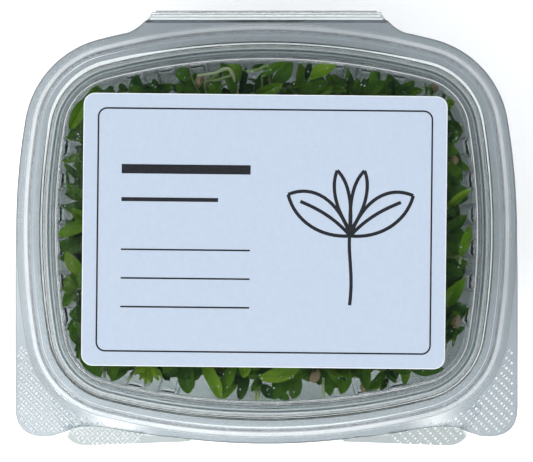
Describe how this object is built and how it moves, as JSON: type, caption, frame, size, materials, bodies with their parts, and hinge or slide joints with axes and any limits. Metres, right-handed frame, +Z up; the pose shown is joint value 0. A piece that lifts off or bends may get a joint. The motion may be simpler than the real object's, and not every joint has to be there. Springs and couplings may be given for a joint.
{
  "type": "hinged clamshell of cilantro microgreens",
  "caption": "Clear hinged clamshell with a ribbed tray, a domed lid with a blank paper label, and a heap of cut cilantro seedlings inside.",
  "frame": {"origin": "middle of the whole outline, on the surface that the tray stands on", "axes": "+Z up, +Y towards the hinge, +X to the right as the closed lid is seen from the front"},
  "size_m": [0.1442, 0.1252, 0.0663],
  "materials": {
    "clear_plastic": "clear, glossy, thermoformed",
    "label_paper": "smooth matt paper with a cool white tint",
    "greens": "soft waxy leaf, with paler stems",
    "seed_husk": "dry, matt, ribbed husk"
  },
  "bodies": {
    "tray": {"tray": "clear_plastic", "hinge_strip": "clear_plastic", "handful_back_left": "greens", "handful_back_middle": "greens", "handful_back_right": "greens", "handful_front_left": "greens", "handful_front_middle": "greens", "handful_front_right": "greens", "seed_husk_1": "seed_husk", "seed_husk_2": "seed_husk", "seed_husk_3": "seed_husk", "seed_husk_4": "seed_husk", "seed_husk_5": "seed_husk", "seed_husk_6": "seed_husk"},
    "lid": {"lid": "clear_plastic", "label": "label_paper"}
  },
  "joints": [
    {"name": "lid_hinge", "type": "hinge", "parent": "tray", "child": "lid", "pos_m": [0, 0.0622, 0.05285], "axis": [-1, 0, 0], "range_deg": [0, 180], "deforming": ["hinge_strip"]}
  ]
}
